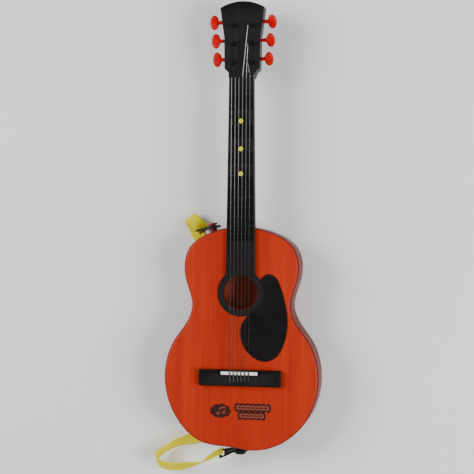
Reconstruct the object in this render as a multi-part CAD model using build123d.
"""Toy guitar with six metal strings, geared tuners and a webbing strap, lying on its back.

Millimetres.  +Z points out of the soundboard, +Y runs along the neck towards the headstock and +X is to the
right as seen from the front.  The origin is the middle of the flat rest pad on the back, on the surface the
guitar lies on.  Along the guitar, places are given as a station, the distance from the tail of the body.
"""
import os
from math import cos, pi, radians, sin

from build123d import *

# ---------------------------------------------------------------- driving dimensions
TOTAL_LENGTH = 540.0          # tail of the body to the top of the headstock
BODY_LENGTH = 268.0
ORIGIN_STATION = 135.0        # station of the origin, at the middle of the rest pad

# half widths of the body outline at stations from the tail to the neck end
BODY_OUTLINE = [(0, 0), (7, 48), (42, 83.5), (86, 94.4), (130, 82.8), (152, 67.5), (174, 60.5),
                (196, 66), (218, 70.3), (243, 64), (261, 38), (267, 16), (268, 0)]

OFFSET_POINTS = 60            # points that carry an inward offset of the outline

PAD_HEIGHT = 3.0              # the rest pad stands this far below the back
SEAM_Z = 44.0                 # front panel meets back shell
FACE_Z = 50.0                 # outer face of the soundboard and of the headstock
WALL = 2.4
BACK_EDGE_RADIUS = 9.0
FRONT_EDGE_RADIUS = 4.0
LIP_DEPTH = 3.0               # the back shell's lip stands inside the front panel
FIT = 0.2                     # clearance of shell lips and pockets

SOUNDHOLE_STATION, SOUNDHOLE_RADIUS = 188.6, 20.4
ROSETTE_RADIUS, ROSETTE_HEIGHT = 28.5, 0.8
PICKGUARD_HEIGHT = 0.9

FINGERBOARD_Z = 54.0
FINGERBOARD_END = 209.0       # station where the fingerboard ends, over the soundhole's edge
NECK_BACK_Z = 36.0
NECK_HALF_WIDTH_NUT, NECK_HALF_WIDTH_BODY = 15.0, 18.0
TONGUE_STATION = 246.0        # the neck's tongue reaches this far into the body
NUT_STATION, NUT_LENGTH, NUT_Z = 447.0, 6.0, 56.6
NUT_SLACK = 0.55              # the notches are this much wider than their strings, on each side
FRET_SCALE, FRET_COUNT, FRET_HEIGHT = 354.5, 14, 0.35      # the scale runs from the nut to the saddle
DOT_FRETS = (3, 5, 7)
DOT_OFFSET = 4.2              # the dots sit this far from the middle of their space, towards the body
DOT_RADIUS, DOT_HEIGHT = 2.7, 0.25

HEAD_BACK_Z, HEAD_SEAM_Z = 32.0, 47.0
HEAD_HALF_BOTTOM, HEAD_HALF_TOP = 21.5, 27.0
HEAD_FLARE, HEAD_CORNER = 497.0, 532.5   # stations where the sides start to flare and where they end
HEAD_WALL = 2.5
SPINE_HALF = 2.5

BRIDGE_STATION, BRIDGE_LENGTH, BRIDGE_WIDTH, BRIDGE_Z = 86.5, 19.5, 100.0, 57.0
SADDLE_STATION, SADDLE_THICKNESS, SADDLE_HALF, SADDLE_Z = 92.5, 4.0, 22.2, 59.2
STRING_GAP = 1.9              # width of the bridge's rib under each string
STRING_HOLE_STATION, STRING_HOLE_RADIUS = 81.5, 0.9

STRING_RADII = (0.42, 0.36, 0.30, 0.24, 0.20, 0.17)
STRING_PITCH_NUT, STRING_PITCH_BRIDGE = 4.45, 4.55
STRING_Z_NUT, STRING_Z_SADDLE = 56.0, 59.4

KNOB_RADII, KNOB_THICKNESS, KNOB_ROUNDING = (5.5, 8.9), 6.2, 2.2
KNOB_TILT_RIGHT = 40          # the right-hand knobs stand turned this far about their shafts, in degrees
# tuner rows: station of the knob shaft and distance of the knob's middle from the centre line
TUNER_ROWS = ((471.0, 31.8), (493.6, 33.6), (516.0, 35.5))
POST_X = 11.0
POST_RADIUS, POST_TOP_Z = 2.2, 58.0
SHAFT_RADIUS, SHAFT_Z = 1.5, 41.0
RUNNING = 0.06                # radial clearance of shafts and posts in their holes
GEAR_TEETH, GEAR_MODULE = 12, 0.55
WORM_PITCH_RADIUS = 1.7
GEAR_PITCH_RADIUS = GEAR_TEETH * GEAR_MODULE / 2
CENTRE_DISTANCE = GEAR_PITCH_RADIUS + WORM_PITCH_RADIUS
GEAR_FACE = 3.0
TOOTH_THICKNESS = 0.5

WEB_WIDTH, WEB_THICKNESS = 16.0, 1.2


def y_at(station):
    """Y of a station along the guitar."""
    return station - ORIGIN_STATION


def place(shape, x, station, z):
    return Pos(x, y_at(station), z) * shape


def rod(radius, x, station, low, high):
    """Upright cylinder from height low to height high."""
    return place(Cylinder(radius, high - low), x, station, (low + high) / 2)


def block(half_x, station_low, station_high, low, high, x=0.0):
    """Box centred on x, between two stations and two heights."""
    size = Box(2 * half_x, station_high - station_low, high - low)
    return place(size, x, (station_low + station_high) / 2, (low + high) / 2)


def group(shapes):
    """Separate solids of one node."""
    return Compound(children=list(shapes))


# ---------------------------------------------------------------- body
def body_face(inset=0.0):
    """The body's outline as a face at z = 0, pulled in by inset."""
    right = [(half, y_at(station)) for station, half in BODY_OUTLINE]
    left = [(-x, y) for x, y in right[-2:0:-1]]
    loop = Spline(right + left, periodic=True)
    if inset:
        steps = [index / OFFSET_POINTS for index in range(OFFSET_POINTS)]
        loop = Spline([loop @ t + (loop % t).rotate(Axis.Z, 90) * inset for t in steps], periodic=True)
    return make_face([loop.trim(index / 4, (index + 1) / 4) for index in range(4)])


def body_slab(low, high, inset=0.0):
    return Pos(0, 0, low) * extrude(body_face(inset), high - low)


def neck_pocket(clearance=0.0):
    """The room for the neck's tongue at the shoulder."""
    half = NECK_HALF_WIDTH_BODY - 2.0 + clearance
    return block(half, TONGUE_STATION - clearance, BODY_LENGTH + 8, NECK_BACK_Z, FACE_Z)


BODY_SCREWS = [(x * side, station) for side in (-1, 1)
               for x, station in ((40, 18), (80, 70), (76, 120), (50, 172), (58, 222))]
BOSS_SPLIT_Z, BOSS_RADIUS = 30.0, 4.6
SCREW_RADIUS, SCREW_HEAD_RADIUS, SCREW_HEAD_HEIGHT = 1.25, 2.8, 2.0


def screw(x, station, seat_z, tip_z, radius=SCREW_RADIUS, head=SCREW_HEAD_RADIUS):
    """Pan-head screw driven upwards, its head under seat_z, with a cross recess."""
    cap = rod(head, x, station, seat_z - SCREW_HEAD_HEIGHT, seat_z)
    cap = fillet(cap.edges().group_by(Axis.Z)[0], 0.8)
    shank = rod(radius, x, station, seat_z, tip_z - 1.5)
    tip = place(Cone(radius, 0.3, 1.5), x, station, tip_z - 0.75)
    bottom = seat_z - SCREW_HEAD_HEIGHT
    cross = block(head * 0.6, station - 0.35, station + 0.35, bottom, bottom + 1.1, x)
    cross += block(0.35, station - head * 0.6, station + head * 0.6, bottom, bottom + 1.1, x)
    return cap + shank + tip - cross


def back_shell():
    """Sides and back in one moulding, with bosses, a neck block and the rest pad."""
    outer = body_slab(PAD_HEIGHT, SEAM_Z)
    outer = fillet(outer.edges().group_by(Axis.Z)[0], BACK_EDGE_RADIUS)
    inner = body_slab(PAD_HEIGHT + WALL, SEAM_Z + 1, WALL)
    inner = fillet(inner.edges().group_by(Axis.Z)[0], BACK_EDGE_RADIUS - WALL)
    shell = outer - inner
    lip = body_slab(SEAM_Z - 2, SEAM_Z + LIP_DEPTH, WALL + FIT)
    lip -= body_slab(SEAM_Z - 3, SEAM_Z + LIP_DEPTH + 1, 2 * WALL)
    skirt = body_slab(SEAM_Z - 2, SEAM_Z, WALL / 2) - body_slab(SEAM_Z - 3, SEAM_Z + 1, 2 * WALL)
    shell += lip + skirt
    shell += block(22, 60, 210, 0, PAD_HEIGHT + 0.5) & fillet(
        block(22, 60, 210, 0, PAD_HEIGHT + 1).edges().filter_by(Axis.Z), 12)
    shell += block(NECK_HALF_WIDTH_BODY + 2, TONGUE_STATION - 3, BODY_LENGTH - 6, PAD_HEIGHT + 1, NECK_BACK_Z)
    posts = [rod(BOSS_RADIUS, x, station, PAD_HEIGHT + 1, BOSS_SPLIT_Z) for x, station in BODY_SCREWS]
    posts += [spot.boss() & body_slab(PAD_HEIGHT, SEAM_Z - 3, WALL / 2) for spot in STRAP_BUTTONS]
    holes = [neck_pocket(FIT)] + [spot.screw_hole() for spot in STRAP_BUTTONS]
    for places, seat in ((BODY_SCREWS, BOSS_SPLIT_Z - 3), (NECK_SCREWS, NECK_BACK_Z - 5)):
        for x, station in places:
            holes.append(rod(SCREW_HEAD_RADIUS + 0.5, x, station, -1, seat))
            holes.append(rod(SCREW_RADIUS + 0.3, x, station, seat - 1, NECK_BACK_Z + 1))
    shell = shell + posts - holes
    return shell


def front_panel():
    """Soundboard with a rolled edge, the soundhole, screw bosses and the bridge's holes."""
    outer = body_slab(SEAM_Z, FACE_Z)
    outer = fillet(outer.edges().group_by(Axis.Z)[-1], FRONT_EDGE_RADIUS)
    panel = outer - body_slab(SEAM_Z - 1, FACE_Z - WALL, WALL)
    posts = [rod(BOSS_RADIUS - 1, x, station, BOSS_SPLIT_Z, FACE_Z - 1) for x, station in BODY_SCREWS]
    holes = [rod(SCREW_RADIUS, x, station, BOSS_SPLIT_Z - 1, BOSS_SPLIT_Z + 11) for x, station in BODY_SCREWS]
    holes.append(rod(SOUNDHOLE_RADIUS, 0, SOUNDHOLE_STATION, SEAM_Z, FACE_Z + 1))
    holes.append(neck_pocket(FIT))
    for x in string_xs(STRING_PITCH_BRIDGE):
        holes.append(rod(STRING_HOLE_RADIUS, x, STRING_HOLE_STATION, SEAM_Z, FACE_Z + 1))
    for x in BRIDGE_SCREW_XS:
        holes.append(rod(SCREW_RADIUS + 0.2, x, BRIDGE_STATION, SEAM_Z, FACE_Z + 1))
    panel = panel + posts - holes
    return panel


def rosette():
    ring = rod(ROSETTE_RADIUS, 0, SOUNDHOLE_STATION, FACE_Z, FACE_Z + ROSETTE_HEIGHT)
    ring = chamfer(ring.edges().group_by(Axis.Z)[-1], 0.25)
    ring -= rod(SOUNDHOLE_RADIUS + 0.2, 0, SOUNDHOLE_STATION, FACE_Z - 1, FACE_Z + 2)
    return ring - block(NECK_HALF_WIDTH_BODY + FIT, FINGERBOARD_END - FIT, 240, FACE_Z - 1, FACE_Z + 2)


def pickguard():
    """Thin plate right of the soundhole, cut round the rosette."""
    edge = Spline([(10, y_at(203)), (24, y_at(205.5)), (33, y_at(211.5)), (41, y_at(209)),
                   (48, y_at(197.5)), (54.3, y_at(176)),
                   (57, y_at(157)), (53, y_at(129)), (42, y_at(111)), (28.6, y_at(106.5)), (11, y_at(115)),
                   (1.5, y_at(130)), (0.5, y_at(147)), (8, y_at(160))])
    plate = Pos(0, 0, FACE_Z) * extrude(make_face([edge, Line(edge @ 1, edge @ 0)]), PICKGUARD_HEIGHT)
    plate -= rod(ROSETTE_RADIUS + FIT, 0, SOUNDHOLE_STATION, FACE_Z - 1, FACE_Z + 2)
    plate -= block(NECK_HALF_WIDTH_BODY + FIT, FINGERBOARD_END - FIT, 240, FACE_Z - 1, FACE_Z + 2)
    plate = max(plate.solids(), key=lambda solid: solid.volume)
    return chamfer(plate.edges().group_by(Axis.Z)[-1], 0.25)


# ---------------------------------------------------------------- neck and headstock
NECK_SCREWS = [(x, station) for x in (-8, 8) for station in (250, 257.5)]
HEAD_SCREWS = [(x, station) for x in (-14, 14) for station in (459.4, 528.5)]
HEAD_TIP = TOTAL_LENGTH - ORIGIN_STATION


def neck_half_width(station):
    along = (NUT_STATION - station) / (NUT_STATION - FINGERBOARD_END)
    return NECK_HALF_WIDTH_NUT + along * (NECK_HALF_WIDTH_BODY - NECK_HALF_WIDTH_NUT)


def neck_face(station_low, station_high, trim=0.0):
    low, high = neck_half_width(station_low) - trim, neck_half_width(station_high) - trim
    return make_face(Polyline([(-low, y_at(station_low)), (low, y_at(station_low)), (high, y_at(station_high)),
                               (-high, y_at(station_high))], close=True))


def head_face():
    """Headstock outline: concave shoulders at the nut, sides flaring to an arched top."""
    nut, wide = NECK_HALF_WIDTH_NUT, HEAD_HALF_BOTTOM
    shoulder = [(nut, NUT_STATION), (nut + 0.6, 452), (nut + 3.2, 456), (wide, 459.5)]
    corner, waist = (HEAD_HALF_TOP, HEAD_CORNER), (wide + 0.6, HEAD_FLARE)
    edges = [ThreePointArc((-corner[0], y_at(corner[1])), (0, HEAD_TIP), (corner[0], y_at(corner[1])))]
    edges.append(Line((-nut, y_at(NUT_STATION)), (nut, y_at(NUT_STATION))))
    for side in (-1, 1):
        curve = [(side * x, y_at(station)) for x, station in shoulder]
        straight = [(side * x, y_at(station)) for x, station in (shoulder[-1], waist, corner)]
        edges.append(Spline(curve, tangents=[(0, 1), (side * 0.5, 1)]))
        edges += [Line(straight[0], straight[1]), Line(straight[1], straight[2])]
    return make_face(edges)


def head_slab(low, high):
    return Pos(0, 0, low) * extrude(head_face(), high - low)


def head_hollow():
    """The space inside the headstock's tray."""
    bottom, top = HEAD_HALF_BOTTOM - HEAD_WALL, HEAD_HALF_TOP - HEAD_WALL
    waist = bottom + 0.6
    right = [(bottom, y_at(461)), (waist, y_at(HEAD_FLARE)), (top, y_at(HEAD_CORNER - 1.5))]
    left = [(-x, y) for x, y in reversed(right)]
    arch = ThreePointArc(right[-1], (0, HEAD_TIP - HEAD_WALL), left[0])
    sides = Polyline([*left, *right])
    low = HEAD_BACK_Z + HEAD_WALL
    return Pos(0, 0, low) * extrude(make_face([arch, sides]), HEAD_SEAM_Z + 1 - low)


def neck_front():
    """Fingerboard and headstock face in one moulding."""
    board = Pos(0, 0, FACE_Z) * extrude(neck_face(FINGERBOARD_END, NUT_STATION - 0.1), FINGERBOARD_Z - FACE_Z)
    board = fillet(board.edges().group_by(Axis.Z)[-1].filter_by(lambda e: e.length > 50), 1.2)
    for fret in range(1, FRET_COUNT + 1):
        station = NUT_STATION - FRET_SCALE * (1 - 2 ** (-fret / 12))
        half = neck_half_width(station) - 1.2
        ridge = Rot(0, 90, 0) * Cylinder(0.7, 2 * half)
        board += place(ridge, 0, station, FINGERBOARD_Z + FRET_HEIGHT - 0.7)
    face = head_slab(HEAD_SEAM_Z, FACE_Z)
    face = fillet(face.edges().group_by(Axis.Z)[-1].filter_by(lambda e: e.center().Y > y_at(456)), 1.2)
    key = block(6.8, NUT_STATION - 20 + FIT, NUT_STATION + 3, HEAD_SEAM_Z, FACE_Z)
    key += block(6.8, NUT_STATION - 20 + FIT, NUT_STATION - 1, HEAD_SEAM_Z + 1, FACE_Z + 1)
    body = board + key + face
    for _, x, post_station, *_ in tuner_places():
        body -= rod(POST_RADIUS + RUNNING, x, post_station, HEAD_SEAM_Z - 1, FACE_Z + 1)
    for x, station in HEAD_SCREWS:
        body += rod(2.6, x, station, HEAD_SEAM_Z - 5, HEAD_SEAM_Z + 0.5)
        body -= rod(1.0, x, station, HEAD_SEAM_Z - 6, HEAD_SEAM_Z + 1.5)
    for station in dot_stations():
        body -= rod(DOT_RADIUS, 0, station, FINGERBOARD_Z - 1, FINGERBOARD_Z + 1)
    return body


def dot_stations():
    """Stations of the dots, in the space above each marked fret."""
    places = [NUT_STATION - FRET_SCALE * (1 - 2 ** (-fret / 12)) for fret in range(FRET_COUNT + 1)]
    return [(places[fret - 1] + places[fret]) / 2 - DOT_OFFSET for fret in DOT_FRETS]


def neck_back():
    """Rounded back of the neck, its tongue in the body, and the headstock's tray."""
    neck = extrude(neck_face(BODY_LENGTH + FIT, NUT_STATION), FACE_Z - NECK_BACK_Z)
    neck = Pos(0, 0, NECK_BACK_Z) * fillet(
        neck.edges().group_by(Axis.Z)[0].filter_by(lambda e: e.length > 50), 10)
    neck -= block(7, BODY_LENGTH + 20, NUT_STATION - 20, NECK_BACK_Z + 4, FACE_Z + 1)
    neck -= block(7, NUT_STATION - 21, NUT_STATION + 1, HEAD_SEAM_Z, FACE_Z + 1)
    tongue = neck_pocket()
    tongue -= block(60, BODY_LENGTH + 1, BODY_LENGTH + 20, 0, FACE_Z + 1)
    tray = head_slab(HEAD_BACK_Z, HEAD_SEAM_Z)
    tray = fillet(tray.edges().group_by(Axis.Z)[0].filter_by(lambda e: e.center().Y > y_at(460)), 2.0)
    tray = chamfer(tray.edges().group_by(Axis.Z)[0].sort_by(Axis.Y)[0], 3.5)
    tray -= head_hollow()
    tray += block(SPINE_HALF, 456, 536, HEAD_BACK_Z + 1, HEAD_SEAM_Z)
    for x, station in HEAD_SCREWS:
        tray -= rod(2.6 + FIT, x, station, HEAD_SEAM_Z - 5 - FIT, HEAD_SEAM_Z + 1)
    for _, x, post_station, side, knob_station, _ in tuner_places():
        tray += rod(POST_RADIUS + 1.8, x, post_station, HEAD_BACK_Z + 1, HEAD_BACK_Z + HEAD_WALL + 1.5)
        tray -= rod(POST_RADIUS + RUNNING, x, post_station, HEAD_BACK_Z + 1.5, HEAD_BACK_Z + 10)
        hole = Rot(0, 90, 0) * Cylinder(SHAFT_RADIUS + RUNNING, 40)
        tray -= place(hole, side * (20 + SPINE_HALF - 1.5), knob_station, SHAFT_Z)
    for x, station in HEAD_SCREWS:
        tray += rod(3.4, x, station, HEAD_BACK_Z + 1, HEAD_SEAM_Z - 5)
        tray -= rod(2.6, x, station, HEAD_BACK_Z - 1, HEAD_BACK_Z + 4)
        tray -= rod(1.3, x, station, HEAD_BACK_Z, HEAD_SEAM_Z)
    back = neck + tongue + tray
    for x, station in NECK_SCREWS:
        back -= rod(SCREW_RADIUS, x, station, NECK_BACK_Z - 1, NECK_BACK_Z + 10)
    return back


def nut():
    """Bar with a notch for each string."""
    bar = block(NECK_HALF_WIDTH_NUT, NUT_STATION, NUT_STATION + NUT_LENGTH, FACE_Z, NUT_Z)
    bar = fillet(bar.edges().group_by(Axis.Z)[-1].filter_by(Axis.X), 1.0)
    for x, radius in zip(string_xs(STRING_PITCH_NUT), STRING_RADII):
        notch = Rot(90, 0, 0) * Cylinder(radius + NUT_SLACK, 20)
        bar -= place(notch, x, NUT_STATION, STRING_Z_NUT)
        bar -= block(radius + NUT_SLACK, NUT_STATION - 1, NUT_STATION + 8, STRING_Z_NUT, NUT_Z + 1, x)
    return bar


def position_dots():
    return group(rod(DOT_RADIUS, 0, station, FINGERBOARD_Z - 1, FINGERBOARD_Z + DOT_HEIGHT)
                 for station in dot_stations())


# ---------------------------------------------------------------- bridge and strings
BRIDGE_SCREW_XS = (-36.0, 36.0)


def string_xs(pitch):
    return [(index - 2.5) * pitch for index in range(6)]


def saddle_spans():
    """Seven white blocks between the six string ribs, as (low x, high x)."""
    edges = [-SADDLE_HALF]
    for x in string_xs(STRING_PITCH_BRIDGE):
        edges += [x - STRING_GAP / 2, x + STRING_GAP / 2]
    edges.append(SADDLE_HALF)
    return list(zip(edges[::2], edges[1::2]))


def bridge():
    low, high = BRIDGE_STATION - BRIDGE_LENGTH / 2, BRIDGE_STATION + BRIDGE_LENGTH / 2
    body = block(BRIDGE_WIDTH / 2, low, high, FACE_Z, BRIDGE_Z)
    body = fillet(body.edges().filter_by(Axis.Z), 1.5)
    body = fillet(body.edges().group_by(Axis.Z)[-1], 1.2)
    half = SADDLE_THICKNESS / 2
    body += block(SADDLE_HALF + 1.5, SADDLE_STATION - half - 1.2, SADDLE_STATION + half + 1.2, FACE_Z, 58.4)
    body -= block(SADDLE_HALF, SADDLE_STATION - half, SADDLE_STATION + half, FACE_Z - 1, FACE_Z + 3)
    for left, right in saddle_spans():
        middle = (left + right) / 2
        body -= block((right - left) / 2, SADDLE_STATION - half, SADDLE_STATION + half, FACE_Z, 60, middle)
    for x in string_xs(STRING_PITCH_BRIDGE):
        body -= rod(STRING_HOLE_RADIUS, x, STRING_HOLE_STATION, FACE_Z - 1, 60)
    for x in BRIDGE_SCREW_XS:
        body -= rod(SCREW_RADIUS, x, BRIDGE_STATION, FACE_Z - 1, FACE_Z + 5)
    return body


def saddle():
    """White base bar with the seven blocks that stand up through the bridge."""
    half = SADDLE_THICKNESS / 2
    low, high = SADDLE_STATION - half, SADDLE_STATION + half
    bar = block(SADDLE_HALF, low, high, FACE_Z, FACE_Z + 3)
    for left, right in saddle_spans():
        tooth = block((right - left) / 2, low, high, FACE_Z + 2.5, SADDLE_Z, (left + right) / 2)
        bar += fillet(tooth.edges().group_by(Axis.Z)[-1].filter_by(Axis.X), 0.9)
    return bar


def string_assignment():
    """Each string with the tuner that takes it: outer strings go to the nearest posts."""
    rights = [place_ for place_ in tuner_places() if place_[3] > 0]
    lefts = [place_ for place_ in tuner_places() if place_[3] < 0]
    return [lefts[0], lefts[1], lefts[2], rights[2], rights[1], rights[0]]


def string_path(index):
    """Points from under the soundboard over saddle and nut to the post."""
    radius = STRING_RADII[index]
    x_bridge = string_xs(STRING_PITCH_BRIDGE)[index]
    x_nut = string_xs(STRING_PITCH_NUT)[index]
    _, post_x, post_station, side, *_ = string_assignment()[index]
    end_x = post_x - side * (WINDING_RADIUS + radius + 0.05)
    return [(x_bridge, y_at(STRING_HOLE_STATION), 46.0),
            (x_bridge, y_at(STRING_HOLE_STATION), 57.2),
            (x_bridge, y_at(SADDLE_STATION), STRING_Z_SADDLE + radius),
            (x_nut, y_at(NUT_STATION + NUT_LENGTH / 2), STRING_Z_NUT + 0.1),
            (end_x, y_at(post_station - 0.5), WINDING_Z)]


def wire(points, radius):
    """Round wire along straight runs with small bends."""
    path = FilletPolyline(points, radius=1.2)
    start = Plane(path @ 0, z_dir=path % 0)
    return sweep(start * Circle(radius), path=path, transition=Transition.ROUND)


def string(index):
    return wire(string_path(index), STRING_RADII[index])


def string_ball_ends():
    """Brass ferrules that hold the strings under the soundboard."""
    low, high = 43.2, FACE_Z - WALL - 0.1
    return group(rod(1.9, x, STRING_HOLE_STATION, low, high) - rod(radius, x, STRING_HOLE_STATION, 46, 60)
                 for x, radius in zip(string_xs(STRING_PITCH_BRIDGE), STRING_RADII))


# ---------------------------------------------------------------- tuners
WINDING_RADIUS, WINDING_Z = 2.9, 53.4
COLLAR_RADIUS = 3.2


def tuner_places():
    """(name index, post x, post station, side, knob station, knob x) for each of the six tuners."""
    found = []
    for side in (-1, 1):
        for station, knob_x in TUNER_ROWS:
            found.append((len(found) + 1, side * POST_X, station - CENTRE_DISTANCE, side, station, knob_x))
    return found


def tooth(angle):
    """One straight gear tooth, tapering outwards."""
    root, tip = GEAR_PITCH_RADIUS - 0.75, GEAR_PITCH_RADIUS + 0.5
    outline = Polyline([(root - 0.4, -0.42), (tip, -0.2), (tip, 0.2), (root - 0.4, 0.42)], close=True)
    return Rot(0, 0, angle) * (Pos(0, 0, -GEAR_FACE / 2) * extrude(make_face(outline), GEAR_FACE))


def string_post(x, station):
    """Post with a flanged waist for the winding, a cross hole, and the worm wheel at its foot."""
    post = rod(POST_RADIUS, x, station, HEAD_BACK_Z + 1.8, POST_TOP_Z)
    post = chamfer(post.edges().group_by(Axis.Z)[-1], 0.5)
    waist = rod(6, x, station, 52.0, 55.2) - rod(POST_RADIUS - 0.5, x, station, 51.9, 55.3)
    post -= waist
    post += rod(POST_RADIUS + 1.0, x, station, FACE_Z + 0.3, FACE_Z + 1.2)
    wheel = rod(GEAR_PITCH_RADIUS - 0.75, x, station, SHAFT_Z - GEAR_FACE / 2, SHAFT_Z + GEAR_FACE / 2)
    step = 360 / GEAR_TEETH
    for index in range(GEAR_TEETH):
        wheel += place(tooth(90 + step / 2 + index * step), x, station, SHAFT_Z)
    hole = Rot(0, 90, 0) * Cylinder(0.5, 20)
    return post + wheel - place(hole, x, station, 56.3)


def winding(x, station, index):
    """Coiled turns of string on the post's waist."""
    turns = None
    radius = STRING_RADII[index]
    for turn in range(4):
        ring = place(Torus(POST_RADIUS - 0.5 + radius, radius), x, station, 52.55 + 0.62 * turn)
        turns = ring if turns is None else turns + ring
    return turns + (rod(POST_RADIUS - 0.5 + radius, x, station, 52.3, 54.7)
                    - rod(POST_RADIUS - 0.5, x, station, 52, 55))


def worm_shaft(side, station, post_x, knob_x):
    """Shaft along X with a right-hand worm over the wheel, a collar inside the wall and a knob spigot."""
    inner_end, wall_x = SPINE_HALF - 1.3, HEAD_HALF_BOTTOM - HEAD_WALL
    outer_end = knob_x - 1.0
    shaft = Cylinder(SHAFT_RADIUS, outer_end - inner_end)
    shaft = Rot(0, 90, 0) * shaft
    shaft = place(shaft, side * (inner_end + outer_end) / 2, station, SHAFT_Z)
    pitch = GEAR_MODULE * pi
    low = -2.75 * pitch           # puts the thread between two teeth of the wheel
    helix = Helix(pitch=pitch, height=5 * pitch, radius=SHAFT_RADIUS - 0.45)
    start = Plane(helix @ 0, x_dir=(1, 0, 0), z_dir=helix % 0)
    profile = start * Pos(0.45, 0) * Rectangle(1.55, TOOTH_THICKNESS)
    thread = sweep(profile, path=helix, is_frenet=True)
    thread = Rot(0, 90, 0) * Pos(0, 0, low) * thread
    neck = Rot(0, 90, 0) * Cylinder(SHAFT_RADIUS + 1, 6 * pitch)
    core = Rot(0, 90, 0) * Cylinder(1.05, 6 * pitch)
    shaft -= place(neck, post_x, station, SHAFT_Z)
    shaft += place(core + thread, post_x, station, SHAFT_Z)
    collar = Rot(0, 90, 0) * Cylinder(COLLAR_RADIUS, 1.0)
    return shaft + place(collar, side * (wall_x - 0.8), station, SHAFT_Z)


def tuner_knob(side, station, knob_x):
    """Flat oval thumb piece with rounded edges on a short round hub."""
    oval = fillet(extrude(Ellipse(*KNOB_RADII), KNOB_THICKNESS / 2, both=True).edges(), KNOB_ROUNDING)
    oval = Rot(KNOB_TILT_RIGHT if side > 0 else 0, 0, 0) * oval
    hub_low = HEAD_HALF_BOTTOM + (knob_x - TUNER_ROWS[0][1]) + 0.8
    hub = Rot(0, 90, 0) * Cylinder(2.4, knob_x - 3 - hub_low)
    bore = Rot(0, 90, 0) * Cylinder(SHAFT_RADIUS, knob_x - 1 - hub_low + 20)
    knob = place(oval, side * knob_x, station, SHAFT_Z)
    knob += place(hub, side * (knob_x - 3 + hub_low) / 2, station, SHAFT_Z)
    return knob - place(bore, side * (knob_x - 1 + hub_low - 20) / 2, station, SHAFT_Z)


# ---------------------------------------------------------------- strap
class StrapButton:
    """A mushroom button on the body's side wall, pointing along an angle in the XY plane."""

    def __init__(self, x, station, z, angle, stem):
        self.direction = Vector(cos(radians(angle)), sin(radians(angle)), 0)
        self.root = Vector(x, y_at(station), z)
        self.stem = stem

    def bar(self, radius, low, high):
        """Cylinder on the button's axis, from low to high, measured from the wall outwards."""
        plane = Plane(self.root + self.direction * low, z_dir=self.direction)
        return extrude(plane * Circle(radius), high - low)

    def boss(self):
        return self.bar(5.0, -16, 6)

    def screw_hole(self):
        return self.bar(SCREW_RADIUS, -13, 14)

    def button(self):
        """Foot against the wall, waist for the tab and a domed flange."""
        foot = self.bar(4.6, -6, self.stem) - body_slab(0, 60)
        flange = self.bar(6.2, self.stem + 3.9, self.stem + 6.4)
        flange = fillet(flange.edges().sort_by_distance(self.root)[-1:], 1.2)
        body = foot + self.bar(3.4, self.stem - 1, self.stem + 4.5) + flange
        return body - self.bar(SCREW_RADIUS, -20, 20) - self.bar(2.6, self.stem + 5.0, self.stem + 8)

    def screw(self):
        seat = self.stem + 5.0
        return self.bar(SCREW_RADIUS, -12.5, seat) + self.bar(2.5, seat, seat + 1.3)


STRAP_BUTTONS = [StrapButton(-37.4, 262.0, 29.0, 100.9, 4.4), StrapButton(-4.0, 0.0, 25.0, -94.0, 3.2)]

# The webbing's middle line from the upper tab, under the body, round the loop at the tail to the tail tab:
# (x, station, z) and the direction of the webbing's width.
STRAP_ROUTE = [
    ((-53.5, 262.0, 11.5), (-0.69, -0.13, 0.71)), ((-56.0, 268.0, 14.0), (-0.72, -0.25, 0.65)),
    ((-61.5, 273.5, 15.5), (-0.76, -0.42, 0.50)), ((-68.0, 277.8, 14.0), (-0.78, -0.58, 0.22)),
    ((-72.6, 279.6, 9.5), (-0.80, -0.60, 0.0)), ((-72.2, 277.4, 4.6), (-0.84, -0.54, 0.0)),
    ((-69.0, 271.0, 2.0), (-0.88, -0.47, 0.0)), ((-63.2, 259.0, 1.2), (-0.89, -0.45, 0.0)),
    ((-55.5, 244.0, 1.2), (-0.91, -0.41, 0.0)), ((-48.5, 226.0, 1.2), (-0.97, -0.25, 0.0)),
    ((-45.0, 200.0, 1.2), (-1, -0.04, 0.0)), ((-44.5, 150.0, 1.2), (-1, 0, 0.0)),
    ((-44.5, 95.0, 1.2), (-1, 0, 0.0)), ((-44.5, 50.0, 1.2), (-1, 0, 0.0)),
    ((-45.5, 32.0, 1.2), (-0.99, 0.16, 0.0)), ((-48.5, 18.5, 1.2), (-0.88, 0.48, 0.0)),
    ((-55.5, 9.5, 1.4), (-0.62, 0.78, 0.05)), ((-66.0, 4.8, 4.4), (-0.30, 0.87, 0.38)),
    ((-77.5, 1.8, 7.8), (0.00, 0.77, 0.64)), ((-90.1, -2.8, 9.0), (0.22, 0.70, 0.68)),
    ((-102.3, -9.7, 11.5), (0.2, 0.68, 0.70)), ((-109.9, -15.0, 15.0), (0.05, 0.70, 0.71)),
    ((-111.6, -20.0, 19.0), (0.0, 0.71, 0.70)), ((-105.4, -25.2, 24.0), (0.0, 0.73, 0.68)),
    ((-94.5, -27.4, 27.0), (0.0, 0.74, 0.67)), ((-81.5, -27.4, 28.0), (0.0, 0.72, 0.69)),
    ((-70.8, -25.6, 28.0), (0.05, 0.62, 0.78)), ((-60.1, -23.2, 28.0), (0.12, 0.40, 0.91)),
    ((-50.2, -19.8, 27.6), (0.2, 0.12, 0.97)), ((-41.6, -14.7, 26.8), (0.24, -0.18, 0.95)),
    ((-34.0, -10.2, 26.0), (0.21, -0.28, 0.94)), ((-26.0, -5.8, 25.5), (0.20, -0.27, 0.94))]

TAIL_TAB_ROUTE = [
    ((4.5, -5.25, 25.0), (0.06, 0.0, 1.0)), ((-11.0, -4.85, 25.0), (0.06, -0.04, 1.0)),
    ((-19.0, -7.2, 25.2), (0.10, -0.16, 0.98)), ((-29.5, -10.4, 25.6), (0.20, -0.27, 0.94))]

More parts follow.
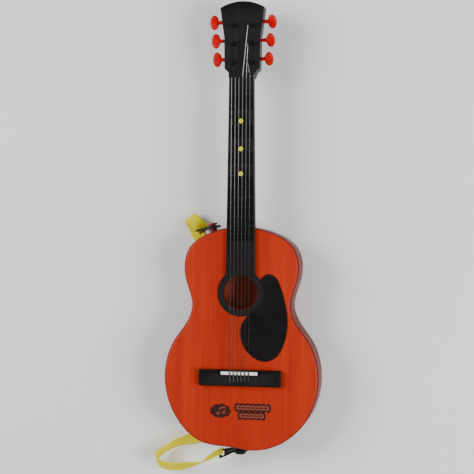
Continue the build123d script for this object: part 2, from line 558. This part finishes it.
TAB_THICKNESS, TAB_WIDTH, TAB_CORNER = 2.4, 21.0, 3.0
TAB_BUTTON_HOLE = 3.7
SLOT_LENGTH, SLOT_WIDTH = WEB_WIDTH + 1.4, 2.8


def band(route, width, thickness):
    """Flat band along a route of middle points, each with the direction of the band's width."""
    points = [Vector(x, y_at(station), z) for (x, station, z), _ in route]
    outlines = []
    for index, (point, (_, across)) in enumerate(zip(points, route)):
        heading = (points[min(index + 1, len(points) - 1)] - points[max(index - 1, 0)]).normalized()
        across = Vector(*across)
        across = (across - heading * across.dot(heading)).normalized()
        outlines.append(Plane(point, x_dir=across, z_dir=heading) * Rectangle(width, thickness))
    return loft(outlines, ruled=True)


def upper_tab(button):
    """Flat tab on the upper button, its slotted end pointing away from the neck and down to the back."""
    middle = button.root + button.direction * (button.stem + 0.3 + TAB_THICKNESS / 2)
    level = Vector(-button.direction.Y, button.direction.X, 0)
    along = (level + Vector(0, 0, -1)).normalized()
    flat = Plane(middle, x_dir=along, z_dir=button.direction)
    half, end = TAB_WIDTH / 2, 27.0
    outline = Pos((end - 8 + half) / 2, 0) * Rectangle(end + 8 - half, TAB_WIDTH)
    outline = fillet(outline.vertices().group_by(Axis.X)[-1], TAB_CORNER) + Circle(half - 1)
    outline = make_hull(outline.edges())
    plate = extrude(flat * outline, TAB_THICKNESS / 2, both=True)
    slot = Pos(23.0, 0) * Rectangle(SLOT_WIDTH, SLOT_LENGTH)
    return plate - extrude(flat * slot, 6, both=True) - button.bar(TAB_BUTTON_HOLE, 0, 20)


def tail_tab(button):
    """The same pliable tab on the tail button, twisted by the webbing it holds."""
    tab = band(TAIL_TAB_ROUTE, TAB_WIDTH, TAB_THICKNESS)
    (x, station, z), across = (-25.6, -9.4, 25.5), Vector(0.18, -0.24, 0.95)
    normal = Vector(0.15, 1.0, 0.75).normalized()
    across = (across - normal * across.dot(normal)).normalized()
    slot = Plane((x, y_at(station), z), x_dir=across, z_dir=normal) * Rectangle(SLOT_LENGTH, SLOT_WIDTH)
    return tab - extrude(slot, 8, both=True) - button.bar(TAB_BUTTON_HOLE, 0, 20)


def main():
    os.makedirs("parts", exist_ok=True)
    upper, tail = STRAP_BUTTONS
    nodes = {
        "front_panel": front_panel(), "back_shell": back_shell(), "rosette": rosette(),
        "pickguard": pickguard(), "neck_front": neck_front(), "neck_back": neck_back(), "nut": nut(),
        "position_dots": position_dots(), "bridge": bridge(), "saddle": saddle(),
        "string_ball_ends": string_ball_ends(),
        "strap_button_upper": upper.button(), "strap_button_tail": tail.button(),
        "strap_button_screws": group([upper.screw(), tail.screw()]),
        "strap_tab_upper": upper_tab(upper), "strap_tab_tail": tail_tab(tail),
        "strap_webbing": band(STRAP_ROUTE, WEB_WIDTH, WEB_THICKNESS),
        "body_screws": group(screw(x, s, BOSS_SPLIT_Z - 3, BOSS_SPLIT_Z + 9) for x, s in BODY_SCREWS),
        "neck_screws": group(screw(x, s, NECK_BACK_Z - 5, NECK_BACK_Z + 8) for x, s in NECK_SCREWS),
        "headstock_screws": group(screw(x, station, HEAD_BACK_Z + 4, HEAD_SEAM_Z, 1.0, 2.2)
                                  for x, station in HEAD_SCREWS),
        "bridge_screws": group(screw(x, BRIDGE_STATION, FACE_Z - WALL, FACE_Z + 4) for x in BRIDGE_SCREW_XS),
    }
    for number, x, post_station, side, station, knob_x in tuner_places():
        nodes[f"tuner_knob_{number}"] = tuner_knob(side, station, knob_x)
        nodes[f"tuner_shaft_{number}"] = worm_shaft(side, station, x, knob_x)
        nodes[f"string_post_{number}"] = string_post(x, post_station)
    for index, (number, x, post_station, *_) in enumerate(string_assignment()):
        nodes[f"string_{index + 1}"] = string(index)
        nodes[f"string_winding_{number}"] = winding(x, post_station, index)
    for name, shape in nodes.items():
        solids = shape.solids()
        export_step(solids[0] if len(solids) == 1 else group(solids), f"parts/{name}.step")


main()
